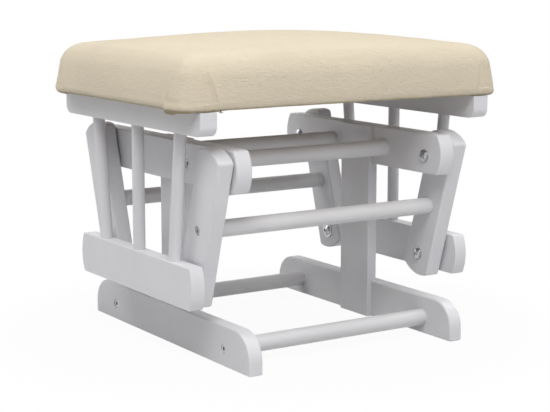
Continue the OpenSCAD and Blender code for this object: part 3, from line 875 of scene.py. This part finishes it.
def swell(piece):
    """Runs Cloth on the piece and leaves the result in its mesh."""
    held = piece.vertex_groups.new(name="held")
    for index, weight in enumerate(held_by_staples(points_of(piece.data))):
        if weight > 0:
            held.add([index], float(weight), "REPLACE")
    cloth = piece.modifiers.new("cloth", "CLOTH")
    for key, value in CLOTH_SETTINGS.items():
        setattr(cloth.settings, key, value)
    cloth.settings.effector_weights.gravity = 0
    cloth.point_cache.frame_start = 1
    cloth.point_cache.frame_end = LAST_FRAME
    for number in range(1, LAST_FRAME + 1):
        bpy.context.scene.frame_set(number)
    baked_mesh(piece)
    bpy.context.scene.frame_set(1)


set_points(cushion.data, FORM - FORM_NORMALS * DRAWN_IN)
swell(cushion)
moved = ((points_of(cushion.data) - FORM) * FORM_NORMALS).sum(axis=1)
spread = np.percentile(moved, (0, 25, 50, 75, 100))
print("cloth against its form, mm:", np.round(spread / MM, 2))
relief = moved - drift(cushion.data, moved, EVENING_SHARE, EVENING_ROUNDS)
spread = np.percentile(relief, (0, 5, 50, 95, 100))
print("relief, mm:", np.round(spread / MM, 2))
kept = KEPT_MOST * np.tanh(relief * KEPT_SHARE / KEPT_MOST)
set_points(cushion.data, FORM + FORM_NORMALS * kept[:, None])

# %% [markdown]
# ### Corner flaps
#
# At each corner the spare cloth is folded into a flap that tapers upwards, like the corner of a
# well made bed. On both faces its edge shows as a ridge, with a shallow valley beside the one on
# the end face. It starts below the shoulder and runs away from the corner as it goes down. The
# folds are strongest at the front left corner, and weaker at the others. The doubled cloth also
# makes the lower edge squarer, and at the front left corner a bunch of it hangs a little below
# the rest of the hem. All this is pressed into the finished mesh by formula, after the mesh has
# been made finer there. A real fold in the cloth would need a far finer mesh for the same look.

# %% Helpers for the corners
FOLD_TOP_Z = HEM_Z + 50 * MM
FLAP_REACH = 80 * MM
FINE_BAND, FINE_ABOVE = 20 * MM, 12 * MM


def refine_corners(mesh):
    """Halves the mesh size around the four upright corners."""
    bm = bmesh.new()
    bm.from_mesh(mesh)
    near = []
    for face in bm.faces:
        middle = face.calc_center_median()
        in_x = HALF_X - abs(middle.x - CUSHION_MIDDLE.x)
        in_y = HALF_Y - abs(middle.y - CUSHION_MIDDLE.y)
        at_corner = in_x < FLAP_REACH and in_y < FLAP_REACH
        outside = in_x < FINE_BAND or in_y < FINE_BAND
        if at_corner and outside and middle.z < FOLD_TOP_Z + FINE_ABOVE:
            near.append(face)
    edges = list({edge for face in near for edge in face.edges})
    bmesh.ops.subdivide_edges(bm, edges=edges, cuts=1, use_grid_fill=True, smooth=0.0)
    bmesh.ops.triangulate(bm, faces=[f for f in bm.faces if len(f.verts) > 4])
    bm.to_mesh(mesh)
    bm.free()


def smoothstep(low, high, value):
    """0 up to low, 1 from high on, and a smooth rise between them. High may be the lower one."""
    share = np.clip((value - low) / (high - low), 0, 1)
    return share * share * (3 - 2 * share)


def bell(value, middle, wide):
    """1 at the middle, and falling to 0 on both sides of it."""
    return np.exp(-((value - middle) / wide) ** 2)


# %% Let the hem wave
WAVE_FINENESS, WAVE_DEPTH, WAVE_LIFT = 26.0, 0.7 * MM, 0.2 * MM
SLACK_PLACE, SLACK_WIDE, SLACK_DEPTH = 108 * MM, 12 * MM, 1.6 * MM
WAVE_LOW, WAVE_TOP = 2 * MM, 22 * MM
RIM_FULL, RIM_END = 3 * MM, 12 * MM


def hem_waves(points):
    """The hem rises and falls a little, and dips at one place on the front where it is slack."""
    low = smoothstep(HEM_Z + WAVE_TOP, HEM_Z + WAVE_LOW, points[:, 2])
    rim = smoothstep(RIM_END, RIM_FULL, inset_of(points))
    wave = np.array([noise.noise(Vector(p) * WAVE_FINENESS) for p in points]) * WAVE_DEPTH
    front = points[:, 1] < CUSHION_MIDDLE.y
    slack = bell(points[:, 0] - CUSHION_MIDDLE.x, SLACK_PLACE, SLACK_WIDE) * front
    moved = points.copy()
    moved[:, 2] -= low * rim * (np.maximum(wave, -WAVE_LIFT) + SLACK_DEPTH * slack)
    return moved


# %% Shape one fold
# One fold: its distance from the corner at its top and at the hem, how high its ridge is, how wide
# the ridge is on the corner's side and beyond, and how deep and wide the valley beside it is
END_FOLD = {"top": 38.0 * MM, "foot": 49.0 * MM, "high": 2.2 * MM, "rise": 3.0 * MM,
            "fall": 7.0 * MM, "deep": 1.1 * MM, "wide": 4.0 * MM}
SIDE_FOLD = {"top": 38.5 * MM, "foot": 46.5 * MM, "high": 3.4 * MM, "rise": 4.5 * MM,
             "fall": 3.0 * MM, "deep": 0.0, "wide": 3.0 * MM}
FOLD_FADE, FOLD_ABOVE = 20 * MM, 4 * MM
VALLEY_NARROWEST = 0.45
UNDER_FROM, UNDER_FULL = 1 * MM, -2 * MM


def fold_height(from_corner, z, strength, top, foot, high, rise, fall, deep, wide):
    """Height of the cloth beside one fold, and how far the place is under the flap."""
    share = np.clip((FOLD_TOP_Z - z) / (FOLD_TOP_Z - HEM_Z), 0, 1)
    past = from_corner - (top + (foot - top) * share)
    grows = smoothstep(FOLD_TOP_Z + FOLD_ABOVE, FOLD_TOP_Z - FOLD_FADE, z) * strength
    ridge = smoothstep(-rise, 0, past) * np.exp(-np.maximum(past, 0) / fall)
    valley_wide = wide * (VALLEY_NARROWEST + (1 - VALLEY_NARROWEST) * share)
    valley = bell(past, -rise / 2 - valley_wide, valley_wide)
    return grows * (high * ridge - deep * valley), smoothstep(UNDER_FROM, UNDER_FULL, past)


# %% Press the corner flaps
SIDE_SHARE = 0.75
# Each corner: its sides in x and y, how strong its folds are, how far its flap hangs, and how far
# its folds are shifted, towards the corner on the end face and away from it on the side face
CORNERS = (
    (-1, -1, 1.0, 1.0, 0 * MM),
    (1, -1, 0.6, 0.2, 3 * MM),
    (-1, 1, 0.4, 0.1, -2 * MM),
    (1, 1, 0.6, 0.4, 2 * MM),
)
# The lower edge: how much squarer it is all round and at a flap, how far a flap hangs, and the lump
# where its cloth is bunched
HEM_SQUARER, FLAP_SQUARER, FLAP_DROOP = 2.1 * MM, 1.0 * MM, 1.4 * MM
LUMP_DROOP, LUMP_PLACE, LUMP_WIDE = 3.0 * MM, 41 * MM, 6 * MM
DROOP_TOP = 20 * MM
# Over the top rail only the very edge can hang down, and beside the rail a wider strip
EDGE_FULL, EDGE_END = 1.5 * MM, 4.5 * MM
BESIDE_FULL, BESIDE_END = 10 * MM, 18 * MM
FACING_FROM, FACING_FULL = 0.35, 0.75


def press_folds(points, normals):
    """Adds the folds and the squarer lower edge to the points."""
    place = points - np.array(CUSHION_MIDDLE)
    z = points[:, 2]
    # How far the place is rolled under: 0 on the sides and the underside, 1 halfway round the edge
    rolled = np.clip(-2 * normals[:, 2] * np.hypot(normals[:, 0], normals[:, 1]), 0, 1)
    facing_end = smoothstep(FACING_FROM, FACING_FULL, abs(normals[:, 1]))
    facing_side = smoothstep(FACING_FROM, FACING_FULL, abs(normals[:, 0]))
    low = smoothstep(HEM_Z + DROOP_TOP, HEM_Z, z)
    out = HEM_SQUARER * rolled
    drop = np.zeros(len(points))
    for side_x, side_y, strength, hang, shift in CORNERS:
        here = (place[:, 0] * side_x > 0) & (place[:, 1] * side_y > 0)
        from_side = HALF_X - place[:, 0] * side_x
        from_end = HALF_Y - place[:, 1] * side_y
        end_height, end_under = fold_height(from_side + shift, z, strength, **END_FOLD)
        side_height, side_under = fold_height(
            from_end - shift, z, strength * SIDE_SHARE, **SIDE_FOLD)
        flap = here * end_under * side_under
        out += here * (facing_end * end_height + facing_side * side_height)
        out += FLAP_SQUARER * flap * rolled
        beside = smoothstep(BESIDE_END, BESIDE_FULL, from_side)
        free = np.maximum(smoothstep(EDGE_END, EDGE_FULL, from_end), beside)
        lump = LUMP_DROOP * bell(from_end - shift, LUMP_PLACE, LUMP_WIDE)
        drop += flap * free * low * hang * (FLAP_DROOP + lump * beside)
    moved = points + normals * out[:, None]
    moved[:, 2] -= drop
    return moved


smooth = cushion.modifiers.new("finer", "SUBSURF")
smooth.levels = smooth.render_levels = 1
baked_mesh(cushion)
refine_corners(cushion.data)
set_points(cushion.data, hem_waves(points_of(cushion.data)))
set_points(cushion.data, press_folds(points_of(cushion.data), normals_of(cushion.data)))
print("cushion faces:", len(cushion.data.polygons))

# %% [markdown]
# ### Underside and thickness
#
# The cloth ends in a hem that is turned under and stapled to the board, and the board shows
# inside it. So the middle of the underside is cut away, and a Solidify modifier gives what is
# left the thickness of the cloth, inwards, so that its outer side stays where it is.

# %% Open the underside and give the cloth its thickness
HEM_WIDE = 22 * MM
UNDERSIDE_FLAT = 3 * MM
COVER_THICK = 1.1 * MM


def open_underside(mesh):
    """Takes the middle of the underside away, and leaves the turned-under hem."""
    bm = bmesh.new()
    bm.from_mesh(mesh)
    gone = []
    for face in bm.faces:
        middle = face.calc_center_median()
        inset = min(HALF_X - abs(middle.x - CUSHION_MIDDLE.x),
                    HALF_Y - abs(middle.y - CUSHION_MIDDLE.y))
        if middle.z < HEM_Z + UNDERSIDE_FLAT and inset > HEM_WIDE:
            gone.append(face)
    bmesh.ops.delete(bm, geom=gone, context="FACES")
    bm.to_mesh(mesh)
    bm.free()


open_underside(cushion.data)
cushion.data.materials.append(CLOTH)
cushion.data.shade_smooth()
thick = cushion.modifiers.new("cloth thickness", "SOLIDIFY")
thick.thickness = COVER_THICK
thick.offset = -1.0
baked_mesh(cushion)
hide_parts("cushion_cover")
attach(cushion, "seat")
print("cushion with its cloth, faces:", len(cushion.data.polygons))

# %% [markdown]
# ### Loose threads
#
# Under the lump of the front left corner a few worn ends of thread stick out. Particle hair would
# be too fine and too many, so each is a short curve with its own thickness, thinner at its loose
# end, and they are turned into one small mesh.

# %% Thread ends under the front left corner
THREAD_ROOT = Vector((-0.1945, -0.1896, 0.3240))
THREAD_THICK = 0.5 * MM
THREAD_PITCH = 0.4 * MM
THREAD_RISE = 1.2 * MM
THREAD_TAPER = 0.5
THREAD_FALL, THREAD_CURL = Vector((0.0, -0.6, -1.8)) * MM, Vector((-1.2, 0.0, 0.2)) * MM
# Where the loose end of each thread hangs, from the root of the tuft
THREAD_ENDS = ((0.0046, -0.0008, -0.0014), (0.0030, -0.0014, -0.0024), (0.0015, -0.0006, -0.0026),
               (-0.0012, -0.0010, -0.0021))


def thread_tuft(name, root, ends):
    """A few short curved threads from one place."""
    curve = bpy.data.curves.new(name, "CURVE")
    curve.dimensions = "3D"
    curve.bevel_depth = THREAD_THICK
    curve.bevel_resolution = 1
    curve.resolution_u = 4
    for number, end in enumerate(ends):
        spline = curve.splines.new("BEZIER")
        spline.bezier_points.add(1)
        first, last = spline.bezier_points
        first.co = root + Vector((THREAD_PITCH * number, 0.0, THREAD_RISE))
        last.co = root + Vector(end)
        for point, lean in ((first, THREAD_FALL), (last, THREAD_CURL)):
            point.handle_left_type = point.handle_right_type = "FREE"
            point.handle_left = point.handle_right = point.co + lean
        last.radius = THREAD_TAPER
    held = new_object(name + ".curve", curve)
    bpy.context.view_layer.update()
    tuft = new_object(name, evaluated_mesh(held))
    bpy.data.objects.remove(held)
    tuft.data.materials.clear()
    tuft.data.materials.append(THREAD)
    tuft.data.shade_smooth()
    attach(tuft, "seat")
    return tuft


tuft = thread_tuft("loose_threads", THREAD_ROOT, THREAD_ENDS)
print("thread faces:", len(tuft.data.polygons))

# %% [markdown]
# ## Round parts
#
# Dowels, spindles, bolts, washers, bushings and screws have their final shape in the frame
# already, so they stay as they are and only take their finish. The seat board and the foam, which
# the cushion hides, stay as well.

# %% Finish the round parts and the hidden ones
def finish_of(name):
    """The finish of a frame node: by its slot, and painted wood by the way its grain runs."""
    return FINISH.get(SLOT_OF[name]) or WOOD["z" if "spindle" in name else "x"]


shown = {name: node for name, node in frame["nodes"].items() if not node.hide_render}
for name, node in shown.items():
    node.material_slots[0].material = finish_of(name)
    node.data.shade_smooth()
print("frame nodes shown:", len(shown))
